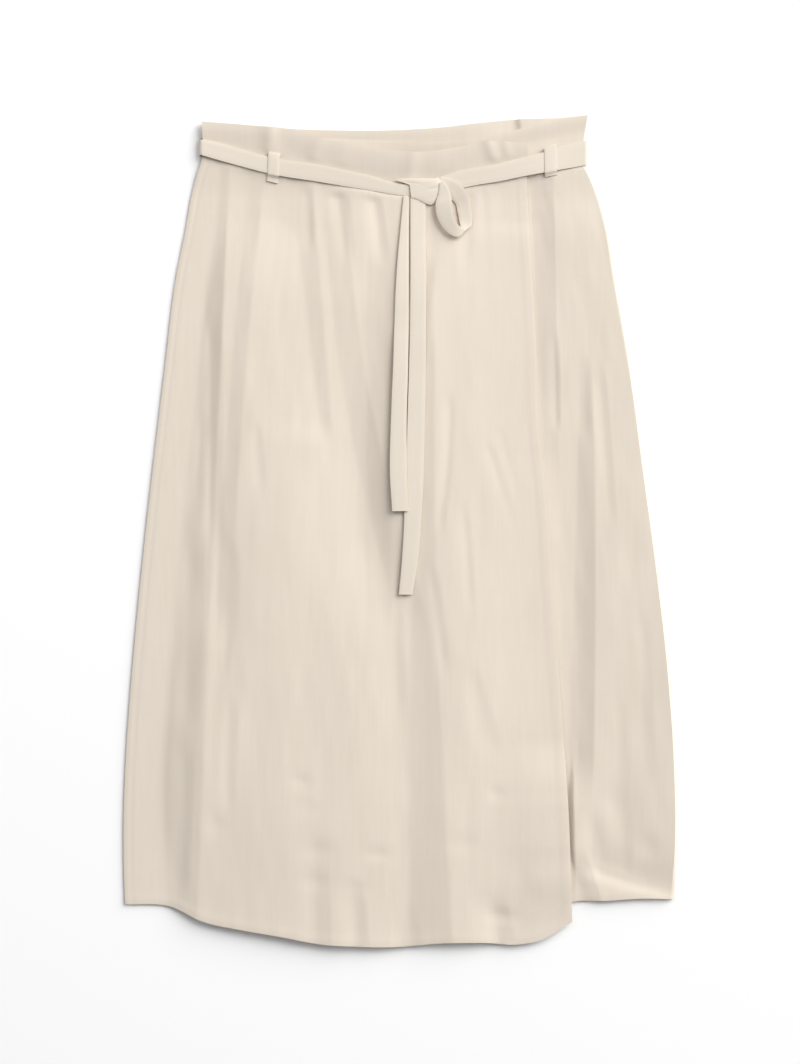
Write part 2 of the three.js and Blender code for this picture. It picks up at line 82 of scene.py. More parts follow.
TOP_UNDER = table("x y", [
    (-104, 380.0), (-50, 376.0), (9, 373.5), (61, 376.5), (95, 381.0), (129, 390.5),
    (153, 395.5), (180, 399.6),
])
TOP_BACK = table("x y", [
    (-192, 393.8), (-144, 390.0), (-104, 386.5), (-58, 385.0), (0, 385.5), (38, 388.0),
    (76, 392.5), (105, 395.5), (153, 397.5), (180, 400.4),
])
HEM_OVER = table("x y", [
    (-266, -359.0), (-219, -362.0), (-192, -374.5), (-154, -383.0), (-116, -389.5),
    (-77, -396.8), (-40, -399.2), (0, -399.6), (38, -396.0), (76, -395.5), (115, -397.2),
    (134, -393.5), (165, -375.5),
])
HEM_UNDER = table("x y", [
    (-148, -380), (-80, -391), (0, -394), (80, -386), (130, -370), (168, -356.5),
    (200, -355.5), (230, -353.5), (266, -354.0),
])
HEM_BACK = table("x y", [
    (-266, -354), (-219, -356), (-192, -366), (-135, -380), (-77, -390), (0, -391),
    (77, -382), (130, -366), (168, -352), (266, -350),
])
BELT_EDGES = table("x upper lower", [
    (-194, 376.5, 362.0), (-171, 372.0, 355.2), (-150, 366.0, 349.4), (-127, 359.5, 343.4),
    (-77, 351.4, 335.0), (-31, 341.8, 327.4), (8, 332.7, 321.6), (39, 340.3, 322.6),
    (57, 345.8, 328.6), (98, 353.3, 336.3), (121, 359.5, 341.1), (138, 363.8, 344.2),
    (151, 368.6, 346.6), (165, 372.5, 349.0), (180, 375.4, 351.8),
])


# %% Curves through the tables
def curve(rows, key, value):
    """A smooth curve through one column, read by another. On each stretch it is the cubic with
    the rows' heights and slopes at its two ends."""
    xs, ys = rows[key], rows[value]
    slopes = np.gradient(ys, xs)

    def at(x):
        x = np.clip(x, xs[0], xs[-1])
        k = np.clip(np.searchsorted(xs, x) - 1, 0, len(xs) - 2)
        step = xs[k + 1] - xs[k]
        t = (x - xs[k]) / step
        ends = (1 + 2 * t) * (1 - t) ** 2 * ys[k] + t * t * (3 - 2 * t) * ys[k + 1]
        return ends + step * t * (1 - t) * ((1 - t) * slopes[k] - t * slopes[k + 1])

    return at


def smooth(start, end, value):
    """A soft step from 0 to 1 between two values: 3 t squared less 2 t cubed."""
    t = np.clip((value - start) / (end - start), 0, 1)
    return t * t * (3 - 2 * t)


def mix(a, b, t):
    """From a to b as t goes from 0 to 1."""
    return a + (b - a) * t


side_left, side_right = curve(SIDES, "y", "left"), curve(SIDES, "y", "right")
edge_over, edge_under = curve(FREE_EDGES, "y", "over"), curve(FREE_EDGES, "y", "under")
top_over, top_under, top_back = (curve(rows, "x", "y") for rows in (TOP_OVER, TOP_UNDER, TOP_BACK))
hem_over, hem_under, hem_back = (curve(rows, "x", "y") for rows in (HEM_OVER, HEM_UNDER, HEM_BACK))
belt_upper, belt_lower = curve(BELT_EDGES, "x", "upper"), curve(BELT_EDGES, "x", "lower")
print("waist, mm:", round(float(side_right(370) - side_left(370))))
print("hem, mm:", round(float(side_right(-350) - side_left(-350))))

# %% [markdown]
# ## How the layers stack
#
# Laid cloth takes its height from what is beneath it. The back lies on the surface and passes over
# the belt's back stretch, the under front lies on the back, and the over front on both. A layer's
# height is the sum of these steps, each eased in over a few centimetres as linen does.

# %% Heights of the layers
CLOTH = 1.4  # the height that a layer of cloth takes up
BELT = 1.2
LOOP = 0.5
GAP = 0.3  # between things that lie on each other
LAYER = CLOTH + GAP
BAND = 37  # from waist seam to rim
BACK_CORNER = 9
BELT_BACK = dict(left=-194, right=180.6, y_left=369, y_right=363.6, half=9)
LIFT_FROM, LIFT_TO = 4, 40  # cloth comes down beside the belt's back stretch
STEP_UP = (-90, 30)  # across the under front's free edge
STEP_DOWN = (0, 60)  # past the over front's free edge


def seam_over(x):
    """The over front's waist seam runs under the middle of the belt."""
    return (belt_upper(x) + belt_lower(x)) / 2


def seam_under(x):
    """The under front's waist seam, a band's height below its rim."""
    return top_under(x) - BAND


def seam_back(x):
    """The back's waist seam, which rises to the left corner."""
    return top_back(x) - BAND + BACK_CORNER * smooth(-120, -190, x)


def lift(x, y):
    """What the belt's back stretch adds to the height of all that lies over it."""
    along = (x - BELT_BACK["left"]) / (BELT_BACK["right"] - BELT_BACK["left"])
    away = np.abs(y - mix(BELT_BACK["y_left"], BELT_BACK["y_right"], along)) - BELT_BACK["half"]
    return (BELT + GAP) * (1 - smooth(LIFT_FROM, LIFT_TO, away))


def stacked(x, y, down=0):
    """Height of what the over front lies on: the back, and the under front past its free edge."""
    return lift(x, y) + LAYER * (1 + (smooth(*STEP_UP, x - edge_under(y)) - down))


def cover(x, y):
    """Height of what the belt lies on: past the over front's edge it comes down one layer."""
    return stacked(x, y, smooth(*STEP_DOWN, x - edge_over(y))) + CLOTH


print("under the belt at the middle, mm:", round(float(cover(0.0, 330.0)), 1))

# %% [markdown]
# ## Folds, creases and dents
#
# A woven cloth that lies loose has long folds which fan out from the waist. Seen from above, each
# has a gentle side and a steep side that ends in a crisp crest, and under a low light from the
# right the steep side is the dark one. So a fold is written as a trough: its line from top to
# bottom, how far the gentle left side reaches, how wide the steep right side is, its depth, and
# how softly it starts and ends. Small creases use the same columns, and dents are oval hollows.

# %% Tables of the folds
FOLD = "x1 y1 x2 y2 bow gentle wide_top wide_low deep_top deep_low fade_in fade_out"
FOLDS_OVER = table(FOLD, [
    (-183, 362, -268, -382, 0, 120, 19, 72, 6.6, 7.5, 8, 1),
    (-172, 20, -178, -150, 0, 18, 20, 26, 1.2, 1.2, 80, 80),
    (-144, 352, -176, -60, -3, 20, 14, 14, 2.0, 1.6, 8, 60),
    (-107, 348, -78, 110, 0, 48, 22, 11, 2.9, 1.2, 8, 30),
    (-74, 342, -24, -10, -11, 50, 20, 28, 2.0, 3.4, 8, 110),
    (-32, 300, -34, -20, 0, 44, 26, 26, 2.8, 2.8, 70, 150),
    (21, 200, 9, -402, -6, 40, 12, 42, 1.3, 4.4, 40, 1),
    (105, -160, 118, -402, 0, 44, 26, 30, 2.4, 3.2, 80, 1),
])
FOLDS_UNDER = table(FOLD, [
    (124, 345, 136, 80, 0, 60, 23, 16, 3.6, 1.2, 6, 50),
    (172, 170, 160, -215, 2, 36, 12, 26, 1.2, 4.6, 50, 50),
    (155, -190, 158, -340, 0, 40, 10, 10, 5.5, 5.5, 50, 30),
    (212, 60, 214, -402, 0, 40, 50, 62, 0.5, 1.9, 100, 1),
    (166, -300, 173, -405, 0, 20, 10, 36, 2.0, 5.0, 30, 1),
])
CREASES_OVER = table(FOLD, [
    (-192, 240, -230, -70, 0, 5, 11, 12, 1.2, 1.6, 30, 60),
    (-182, 215, -182, 20, 0, 6, 12, 12, 1.2, 1.2, 40, 50),
    (-202, 250, -206, 190, 0, 5, 6, 6, 0.6, 0.5, 30, 40),
    (-139, 110, -136, 60, 0, 6, 5, 6, 0.5, 0.5, 20, 30),
    (-190, 120, -194, 40, 0, 5, 7, 7, 0.6, 0.6, 30, 40),
    (-163, 0, -167, -110, 3, 8, 6, 7, 0.5, 0.6, 30, 60),
    (-200, 5, -204, -150, 0, 9, 13, 13, 0.9, 1.0, 50, 60),
    (-163, -150, -166, -240, 0, 6, 8, 8, 0.5, 0.6, 30, 60),
    (-205, -190, -212, -330, 0, 10, 9, 9, 0.8, 0.9, 50, 40),
    (-92, 330, -89, 290, 0, 8, 6, 6, 1.2, 1.0, 6, 30),
    (-60, 326, -55, 285, 0, 8, 10, 10, 1.5, 1.0, 6, 40),
    (-26, 322, -20, 278, 0, 8, 8, 8, 1.3, 0.8, 6, 30),
    (68, 326, 65, 280, 0, 8, 6, 6, 1.4, 0.9, 6, 40),
    (80, 330, 82, 300, 0, 5, 5, 5, 1.1, 0.7, 6, 30),
    (99, 334, 101, 284, 0, 8, 8, 8, 1.6, 1.0, 6, 50),
    (27, 268, 20, 190, 0, 4, 8, 7, 1.4, 1.2, 30, 40),
    (47, 140, 40, 20, 3, 6, 5, 5, 0.8, 0.7, 30, 30),
    (30, -28, 38, -110, 0, 5, 6, 7, 0.7, 0.7, 30, 40),
    (60, 35, 66, -52, 0, 5, 5, 5, 0.5, 0.6, 30, 40),
    (82, 90, 102, 26, 0, 5, 6, 6, 0.9, 0.7, 20, 30),
    (93, 104, 110, 46, 0, 6, 5, 5, 0.8, 0.7, 15, 25),
    (-8, -60, -3, -150, 0, 12, 9, 9, 0.9, 0.9, 30, 60),
    (122, 0, 126, -70, 0, 10, 6, 6, 0.7, 0.7, 30, 40),
    (64, -120, 84, -190, 0, 14, 9, 9, 0.7, 0.7, 30, 40),
    (-82, -280, -80, -398, 0, 16, 14, 14, 1.1, 1.1, 60, 1),
    (-46, -330, -42, -399, 0, 12, 10, 12, 1.0, 1.2, 30, 1),
    (86, -340, 96, -397, 0, 12, 12, 16, 1.2, 2.2, 30, 1),
    (143, -300, 148, -396, 0, 8, 9, 10, 1.2, 1.4, 30, 1),
])
CREASES_UNDER = table(FOLD, [
    (190, 170, 200, 30, 0, 8, 6, 7, 0.7, 0.6, 40, 40),
    (176, 175, 178, 110, 0, 7, 6, 6, 0.5, 0.5, 30, 30),
    (148, 200, 150, 110, 0, 5, 4, 4, 0.6, 0.7, 30, 20),
    (230, -60, 236, -215, 0, 12, 9, 9, 0.3, 0.4, 40, 50),
    (208, -180, 214, -285, 0, 12, 9, 9, 0.3, 0.4, 40, 50),
])
CREASES_BACK = table(FOLD, [
    (-120, 340, -170, -340, 6, 12, 10, 16, 0.25, 0.5, 40, 60),
    (-30, 320, -60, -380, -5, 10, 9, 14, 0.2, 0.4, 60, 40),
    (60, 330, 84, -370, 5, 12, 10, 16, 0.3, 0.5, 60, 60),
    (140, 300, 190, -340, -4, 10, 9, 12, 0.25, 0.45, 40, 40),
    (-200, 60, -214, -260, 3, 8, 7, 9, 0.35, 0.35, 60, 60),
    (16, 60, 8, -180, 3, 8, 7, 9, 0.35, 0.35, 60, 60),
])
DENT = "x y half_x half_y depth"
DENTS_OVER = table(DENT, [
    (-88, -266, 11, 8, 0.3), (-79, -306, 13, 9, 0.6), (-83, -337, 15, 8, 0.5), (-42, -342, 11, 7, 0.4),
    (-22, -310, 12, 6, 0.7), (92, -252, 8, 6, 0.8), (100, -370, 13, 7, 1.6), (116, -330, 9, 12, 0.8),
    (-177, -282, 9, 12, 0.7), (-96, -240, 9, 7, 0.6), (130, -352, 8, 10, 1.0), (60, -300, 16, 9, 0.6),
])
DENTS_UNDER = table(DENT, [
    (206, -262, 12, 16, 0.8), (238, -304, 11, 12, 0.9), (186, -290, 8, 18, 0.9), (222, -20, 10, 22, 0.6),
])
print("folds:", len(FOLDS_OVER["x1"]) + len(FOLDS_UNDER["x1"]))
print("creases:", sum(len(rows["x1"]) for rows in (CREASES_OVER, CREASES_UNDER, CREASES_BACK)))


# %% Height lost in folds and dents
CREST_POWER = 1.2


def troughs(folds, x, y):
    """Sum over the folds of depth times fades times shape. On the gentle left side the shape is
    exp(-(distance / gentle) squared). On the steep right side it is 1 - (distance / width) to the
    power 1.2, which ends in a crisp crest. The bow is how far the line's middle lies aside."""
    total = np.zeros_like(x)
    for row in zip(*folds.values()):
        x1, y1, x2, y2, bow, gentle, wide_top, wide_low, deep_top, deep_low, fade_in, fade_out = row
        down = (y1 - y) / (y1 - y2)
        share = np.clip(down, 0, 1)
        away = x - mix(x1, x2, down) - bow * 4 * down * (1 - down)
        steep = 1 - np.clip(away / mix(wide_top, wide_low, share), 0, 1) ** CREST_POWER
        shape = np.where(away > 0, steep, np.exp(-((away / gentle) ** 2)))
        fades = smooth(0, fade_in, y1 - y) * smooth(0, fade_out, y - y2 + fade_out)
        total += mix(deep_top, deep_low, share) * fades * shape
    return total


def dents(rows, x, y):
    """Sum of oval hollows: depth times exp(-(distance in half widths) squared)."""
    total = np.zeros_like(x)
    for place_x, place_y, half_x, half_y, depth in zip(*rows.values()):
        total += depth * np.exp(-(((x - place_x) / half_x) ** 2) - ((y - place_y) / half_y) ** 2)
    return total


# %% [markdown]
# Between its creases washed linen is never quite even. Value noise gives that: random heights on a
# coarse grid, joined by soft steps. Three grids are added, from swells of a few centimetres to
# pinches of a few millimetres. They fan out with the skirt, so the swells run down from the waist.

# %% Slight unevenness of washed linen
CRUMPLE = table("wide long height", [(46, 190, 0.75), (19, 90, 0.36), (8, 36, 0.16)])
FAN_WIDTH = 400
FIRST_CELL = 30  # the grid's cell at the origin, so that none has a negative number
SEED_OVER, SEED_UNDER, SEED_BACK = 1, 2, 3


def crumple(x, y, seed):
    """Value noise that follows the skirt's flare, from a fixed seed."""
    fanned = (x - side_left(y)) / (side_right(y) - side_left(y)) * FAN_WIDTH
    draws = np.random.default_rng(seed)
    total = np.zeros_like(x)
    for wide, long, height in zip(*CRUMPLE.values()):
        heights = draws.uniform(-1, 1, (3 * FIRST_CELL, 4 * FIRST_CELL))
        across, along = fanned / wide + FIRST_CELL, y / long + FIRST_CELL
        column, row = np.floor(across).astype(int), np.floor(along).astype(int)
        s, t = smooth(0, 1, across - column), smooth(0, 1, along - row)
        lower = mix(heights[row, column], heights[row, column + 1], s)
        upper = mix(heights[row + 1, column], heights[row + 1, column + 1], s)
        total += height * mix(lower, upper, t)
    return total


sample = crumple(*np.meshgrid(np.linspace(-180, 180, 50), np.linspace(-300, 300, 50)), SEED_OVER)
print("unevenness, mm:", round(float(sample.min()), 2), "to", round(float(sample.max()), 2))

# %% [markdown]
# The folds are cut from a fullness that grows below the belt and shrinks to the hem, where the
# cloth comes to rest. A layer never sinks through the one beneath: near it, a fold's bottom
# flattens. The over front comes down to the under front along its free edge. Lower down the edge
# stands off by a millimetre, and at a slit by a few, where the dark inside shows.

# %% Relief of each front
FULLNESS = 7.5  # how far loose cloth stands over the layer beneath
UNDER_SHARE = 0.8  # the under front's share of it
FULL_OVER, FULL_UNDER = 120, 70  # distance below the belt at which each front is full
TUCKED, TUCKED_OVER = 0.3, (-7, 3)  # share that is there at once, round the belt's edge
HEM_SHARE, HEM_REACH = 0.65, 140  # share left at the hem, and where it starts above it
LEAST_SHARE, LEAST = 0.14, 0.05  # what a fold's bottom keeps
FINE_FROM = 1.4  # creases and dents are whole from this height on
RIM_NEAR, RIM_FAR, RIM_NEAR_SHARE = 15, 70, 0.35  # the over front's rise from its left side
SIDE_RIM = 2.5  # the under front's from its right side
SIDE_LOW, SIDE_LOW_REACH = 0.8, (15, 110)  # it is lower near the over front's edge
SHOWS_FROM = (-30, -4)  # beneath the over front it is flat
HEM_ROLL = dict(x=(172, 262), y=(-320, -348), above=24, below=9, depth=2.6, starts=(164, 196))
SLIT_TOP, SLIT_BOTTOM, SLIT_EASE = -200, -380, 50
EDGE_REACH = 110  # the over front comes down to its free edge over this width
EDGE_GAP, EDGE_LOW, EDGE_LOW_FROM, SLIT_EDGE = 0.2, 0.9, (60, -120), 3.4


def full_at(hem, x, y, whole):
    """Share of the fullness by the distance below the belt and above the hem."""
    down = belt_lower(x) - y
    below = TUCKED * smooth(*TUCKED_OVER, down) + (1 - TUCKED) * smooth(TUCKED_OVER[1], whole, down)
    return below * mix(HEM_SHARE, 1, smooth(0, HEM_REACH, y - hem(x)))


def relief(share, folds, creases, hollows, seed, x, y):
    """Fullness less folds, kept above the layer beneath, less creases and dents, plus crumple.
    Where a fold would go below the least height h, it is h times exp((height - h) / h)."""
    full = FULLNESS * share
    high = full - troughs(folds, x, y) * np.clip(2 * share, 0, 1)
    least = LEAST_SHARE * full + LEAST
    high = np.where(high > least, high, least * np.exp((high - least) / least))
    fine = troughs(creases, x, y) + dents(hollows, x, y) - crumple(x, y, seed)
    return np.maximum(high - fine * np.clip(high / FINE_FROM, 0, 1), LEAST)


def in_slit(y):
    """1 along the slit beside the free edge, 0 above and below it."""
    below_top = smooth(SLIT_TOP, SLIT_TOP - SLIT_EASE, y)
    return below_top * smooth(SLIT_BOTTOM, SLIT_BOTTOM + SLIT_EASE, y)


def hem_valley(x, y):
    """The under front's hem turns up in a roll. The valley above it runs down to the side, with
    a wide slope exp(-(distance / above) squared) over it and a short one under it."""
    along = (x - HEM_ROLL["x"][0]) / (HEM_ROLL["x"][1] - HEM_ROLL["x"][0])
    away = y - mix(*HEM_ROLL["y"], along)
    reach = np.where(away > 0, HEM_ROLL["above"], HEM_ROLL["below"])
    return HEM_ROLL["depth"] * np.exp(-((away / reach) ** 2)) * smooth(*HEM_ROLL["starts"], x)


def relief_under(x, y):
    """The part that shows rises a little towards the right side and ends there in a small round."""
    inward = side_right(y) - x
    beyond = x - edge_over(y)
    side = smooth(0, SIDE_RIM, inward)
    rising = side * mix(SIDE_LOW, 1, smooth(*SIDE_LOW_REACH, beyond))
    share = UNDER_SHARE * rising * full_at(hem_under, x, y, FULL_UNDER)
    own = relief(share, FOLDS_UNDER, CREASES_UNDER, DENTS_UNDER, SEED_UNDER, x, y)
    own = np.maximum(own - hem_valley(x, y) * side, LEAST)
    return own * smooth(*SHOWS_FROM, beyond)


def relief_over(x, y):
    """Full in the middle, lower to the left side, and down on the under front at the free edge."""
    inward = x - side_left(y)
    side = mix(smooth(0, RIM_FAR, inward), smooth(0, RIM_NEAR, inward), RIM_NEAR_SHARE)
    share = side * full_at(hem_over, x, y, FULL_OVER)
    own = relief(share, FOLDS_OVER, CREASES_OVER, DENTS_OVER, SEED_OVER, x, y)
    edge = edge_over(y)
    at_edge = relief_under(edge, y) + EDGE_GAP + EDGE_LOW * smooth(*EDGE_LOW_FROM, y)
    at_edge = at_edge + SLIT_EDGE * in_slit(y)
    return mix(at_edge, own, smooth(0, EDGE_REACH, edge - x))


def under_over(x, y):
    """Lower side of the over front."""
    return stacked(x, y) + relief_over(x, y)


middle_of_front = np.array([0.0]), np.array([-150.0])
print("relief at the middle of the front, mm:", round(float(relief_over(*middle_of_front)[0]), 1))

# %% [markdown]
# ## Walls of cloth
#
# A sheet could be one grid with a Solidify modifier. Two grids, an outer and an inner side joined
# round the rim, give the same closed wall, and the two sides can differ, as those of the belt and
# its loops do. The UV map holds each point's place on the flat cloth in metres, so the weave has
# its true size.

# %% A wall from two grids
SHARP_ANGLE = math.radians(50)


def points_at(*coordinates):
    """An array of points from their coordinates, each of which is an array or one number."""
    return np.stack(np.broadcast_arrays(*coordinates), -1)


def new_object(name, points, faces):
    """An object at the origin, with its place in its mesh, from points in millimetres."""
    mesh = bpy.data.meshes.new(name)
    mesh.from_pydata((points * MM).tolist(), [], faces.tolist())
    mesh.shade_smooth()
    piece = bpy.data.objects.new(name, mesh)
    bpy.context.collection.objects.link(piece)
    return piece


def quads(grid):
    """The faces between neighbours in a grid of point numbers."""
    return points_at(grid[:-1, :-1], grid[1:, :-1], grid[1:, 1:], grid[:-1, 1:]).reshape(-1, 4)


def wall(name, outer, inner, flat):
    """A closed mesh from two grids of points, with the flat cloth's place as its UV map."""
    count = outer.shape[0] * outer.shape[1]
    out = np.arange(count).reshape(outer.shape[:2])
    rim = [out[:, 0], out[::-1, -1], out[0, ::-1], out[-1]]
    sides = [quads(out), quads(out.T + count)]
    faces = np.concatenate(sides + [quads(np.stack([line, line + count])) for line in rim])
    piece = new_object(name, np.concatenate([outer, inner]).reshape(-1, 3), faces)
    uv = piece.data.uv_layers.new(name="cloth")
    places = np.concatenate([flat, flat]).reshape(-1, 2) * MM
    uv.data.foreach_set("uv", places[faces.reshape(-1)].ravel())
    piece.data.set_sharp_from_angle(angle=SHARP_ANGLE)
    return piece


def ribbon(name, middle, edge, thickness, across=8, cup=0.25):
    """A flat band along a line of middles. edge points from the middle to one side. Each side
    falls by cup times the sixth power of the distance from the middle, as a pressed fold does."""
    along = np.gradient(middle, axis=0)
    out = np.cross(along, edge)
    out /= np.linalg.norm(out, axis=1, keepdims=True)
    s = np.linspace(-1, 1, across + 1)
    rounding = thickness / 2 - cup * np.abs(s) ** 6
    base = middle[:, None] + edge[:, None] * s[None, :, None]
    outer = base + out[:, None] * rounding[None, :, None]
    inner = base - out[:, None] * rounding[None, :, None]
    steps = np.linalg.norm(np.diff(middle, axis=0), axis=1)
    length = np.concatenate([[0], np.cumsum(steps)])[:, None]
    half = np.linalg.norm(edge, axis=1)[:, None]
    return wall(name, outer, inner, points_at(half * s, length)), float(length[-1, 0])


# %% [markdown]
# ## Linen
#
# The cloth is a washed linen in plain weave, pale oatmeal. Flax thread is uneven: its thick places,
# the slubs, show as fine streaks, most of them down the length. The dry fibre hardly shines, so
# the roughness is high, with a trace of sheen from the loose ends. The weave has about 11 threads
# to the centimetre. One thread is under a pixel wide in a view of the whole skirt, so the weave is
# low bump that only a close view shows, and the slubs carry the look from afar.


# %% Colours and nodes
def linear(code):
    """A screen colour such as "e0d5c4" as linear light."""
    parts = [int(code[k:k + 2], 16) / 255 for k in (0, 2, 4)]
    return [p / 12.92 if p <= 0.04045 else ((p + 0.055) / 1.055) ** 2.4 for p in parts] + [1]


def node(tree, kind, inputs=None, **settings):
    """Add a shader node, with settings, and inputs that are values or sockets."""
    new = tree.nodes.new(kind)
    for key, value in settings.items():
        setattr(new, key, value)
    for key, value in (inputs or {}).items():
        if isinstance(value, bpy.types.NodeSocket):
            tree.links.new(value, new.inputs[key])
        else:
            new.inputs[key].default_value = value
    return new


def new_material(name):
    """An empty material and its node tree."""
    material = bpy.data.materials.new(name)
    material.use_nodes = True
    material.node_tree.nodes.clear()
    return material, material.node_tree


# %% Woven linen
THREAD_PITCH = 0.9 * MM
SLUB_WIDTH, SLUB_LENGTH = 4 * MM, 60 * MM
CROSS_LENGTH, CROSS_WIDTH = 51 * MM, 4.4 * MM  # slubs of the cross threads
CLOUD_WIDTH, CLOUD_LENGTH = 70 * MM, 140 * MM
CROSS_SHARE, CLOUD_SHARE, WEAVE_SHARE = 0.25, 0.6, 0.25  # beside the slubs down the length
TONE_DARK, TONE_LIGHT = 0.42, 1.42  # sums of noise that get the dark and the light tone


def streaks(tree, place, across, along, detail):
    """Noise with features of the given size in metres, across and along the cloth."""
    scaled = node(tree, "ShaderNodeVectorMath", {0: place, 1: (1 / across, 1 / along, 1)},
                  operation="MULTIPLY")
    noise = node(tree, "ShaderNodeTexNoise", {
        "Vector": scaled.outputs[0], "Scale": 1.0, "Detail": detail, "Roughness": 0.7})
    return noise.outputs["Fac"]


def weave(tree, place):
    """Plain weave: the sine across times the sine along, one wave to a pair of threads."""
    turns = 2 * math.pi / (2 * THREAD_PITCH)
    waves = node(tree, "ShaderNodeVectorMath", {0: place, 1: (turns, turns, 0)}, operation="MULTIPLY")
    ripple = node(tree, "ShaderNodeVectorMath", {0: waves.outputs[0]}, operation="SINE")
    split = node(tree, "ShaderNodeSeparateXYZ", {0: ripple.outputs[0]})
    return node(tree, "ShaderNodeMath", {0: split.outputs[0], 1: split.outputs[1]},
                operation="MULTIPLY").outputs[0]


def woven_linen(name, light, dark, bump_strength):
    """Linen between a light and a dark tone, with slubs, soft clouds of tone and a woven bump."""
    material, tree = new_material(name)
    place = node(tree, "ShaderNodeUVMap", uv_map="cloth").outputs["UV"]
    slubs_down = streaks(tree, place, SLUB_WIDTH, SLUB_LENGTH, 3)
    slubs_across = streaks(tree, place, CROSS_LENGTH, CROSS_WIDTH, 2)
    clouds = streaks(tree, place, CLOUD_WIDTH, CLOUD_LENGTH, 2)
    slubs = node(tree, "ShaderNodeMath", {0: slubs_across, 1: CROSS_SHARE, 2: slubs_down},
                 operation="MULTIPLY_ADD").outputs[0]
    tone = node(tree, "ShaderNodeMath", {0: clouds, 1: CLOUD_SHARE, 2: slubs},
                operation="MULTIPLY_ADD")
    level = node(tree, "ShaderNodeMapRange", {
        "Value": tone.outputs[0], "From Min": TONE_DARK, "From Max": TONE_LIGHT})
    colour = node(tree, "ShaderNodeMix", {
        "Factor": level.outputs[0], "A": linear(dark), "B": linear(light)}, data_type="RGBA")
    height = node(tree, "ShaderNodeMath", {0: weave(tree, place), 1: WEAVE_SHARE, 2: slubs},
                  operation="MULTIPLY_ADD")
    bump = node(tree, "ShaderNodeBump", {
        "Height": height.outputs[0], "Strength": bump_strength, "Distance": 0.4 * MM})
    rough = node(tree, "ShaderNodeMapRange", {"Value": slubs_down, "To Min": 0.78, "To Max": 0.95})
    shader = node(tree, "ShaderNodeBsdfPrincipled", {
        "Base Color": colour.outputs["Result"], "Roughness": rough.outputs[0],
        "Normal": bump.outputs[0], "Sheen Weight": 0.12, "Sheen Roughness": 0.6,
        "Specular IOR Level": 0.25})
    node(tree, "ShaderNodeOutputMaterial", {"Surface": shader.outputs[0]})
    print(name, "nodes:", len(tree.nodes))
    return material


linen = woven_linen("oatmeal_linen_plain_weave", "e1d6c8", "dacebe", 0.1)
pressed_linen = woven_linen("oatmeal_linen_pressed_double", "e3d9cb", "dcd1c1", 0.08)


def dress(piece, material, slot, *nodes):
    """Give a piece its cloth, hang it on the root, hide the solids it stands for, and print its size."""
    piece.data.materials.append(material)
    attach(piece, "root")
    if nodes:
        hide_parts(*nodes)
    sizes = [round(float(size) / MM, 1) for size in piece.dimensions]
    print(piece.name, "mm:", sizes, "faces:", len(piece.data.polygons))


# %% [markdown]
# ## The three panels
#
# Every panel is one grid from side to side and from waist seam to hem. Its rows follow the seam at
# the top and the hem at the bottom, so the cut edges come out clean. The back is the plain lower
# layer, with shallow creases on the side it lies on.


# %% A panel from its edges
LINEN_THICK = 0.7
SET_DOWN = 0.45  # from the top of a layer's full height to the cloth's outer side
WAIST_Y, HEM_Y = 350, -365


def columns_back(u, y):
    """From the left side to the right side."""
    return mix(side_left(y), side_right(y), u)


def panel(name, grid, x_at, ends, upper, thick):
    """A panel of cloth. Its outer side is the height upper and it is thick below that. Each end
    is a curve in x and the y near which it runs."""
    across, along = grid
    (top, near_top), (bottom, near_bottom) = ends
    u, v = np.meshgrid(np.linspace(0, 1, across + 1), np.linspace(0, 1, along + 1))
    y = mix(top(x_at(u, near_top)), bottom(x_at(u, near_bottom)), v)
    x = x_at(u, y)
    z = upper(x, y)
    return wall(name, points_at(x, y, z), points_at(x, y, z - thick), points_at(x, y))


# %% Back
BACK_CRUMPLE, BACK_RAISED, BACK_CLEAR = 0.15, 0.6, 0.05


def upper_back(x, y):
    """The back rests on the surface, and its creases lift it by up to 0.6 mm."""
    raised = troughs(CREASES_BACK, x, y) + BACK_CRUMPLE * crumple(x, y, SEED_BACK)
    return lift(x, y) + LINEN_THICK + BACK_CLEAR + np.clip(raised, 0, BACK_RAISED)


back = panel("back_panel_cloth", (100, 150), columns_back, ((seam_back, WAIST_Y), (hem_back, HEM_Y)),
             upper_back, LINEN_THICK)
dress(back, linen, "linen", "back_panel")

# %% [markdown]
# The under front is hidden on the left and shows in a strip on the right, so most of its columns
# are given to the strip. Its side edge turns down to the back in a small round, and its hem is
# turned up 8 mm, which shows as a slightly raised band.

# %% Under front
HIDDEN_SHARE, FINE_WITHIN = 0.22, 6  # columns are few up to here inside the over front's edge
HEM_WIDE, HEM_RAISED, HEM_STEP, HEM_ROUND = 8, 0.2, 2, 1.5
SEAM_DROP, SEAM_WIDE = 0.5, 2


def columns_under(u, y):
    """A few columns up to the over front's edge, and the rest in the strip that shows."""
    change = edge_over(y) - FINE_WITHIN
    hidden = mix(edge_under(y), change, u / HIDDEN_SHARE)
    shown = mix(change, side_right(y), (u - HIDDEN_SHARE) / (1 - HIDDEN_SHARE))
    return np.where(u < HIDDEN_SHARE, hidden, shown)


def hem_fold(distance):
    """Extra height of the turned hem by the distance from its edge."""
    inside = 1 - smooth(HEM_WIDE, HEM_WIDE + HEM_STEP, distance)
    return HEM_RAISED * inside * smooth(0, HEM_ROUND, distance)


def upper_under(x, y):
    """The under front's outer side, with the hem's fold and the side seam."""
    side_seam = SEAM_DROP * (1 - smooth(0, SEAM_WIDE, side_right(y) - x))
    high = lift(x, y) + LAYER + relief_under(x, y) + CLOTH - SET_DOWN
    return high + hem_fold(y - hem_under(x)) - side_seam


under = panel("front_under_cloth", (110, 235), columns_under,
              ((seam_under, WAIST_Y), (hem_under, HEM_Y)), upper_under, LINEN_THICK)
dress(under, linen, "linen", "front_under")

# %% [markdown]
# The over front carries the large folds. Its left edge is sewn to the back, and the side seam
# shows there as a fine groove. Its right edge and hem are turned in and stitched.

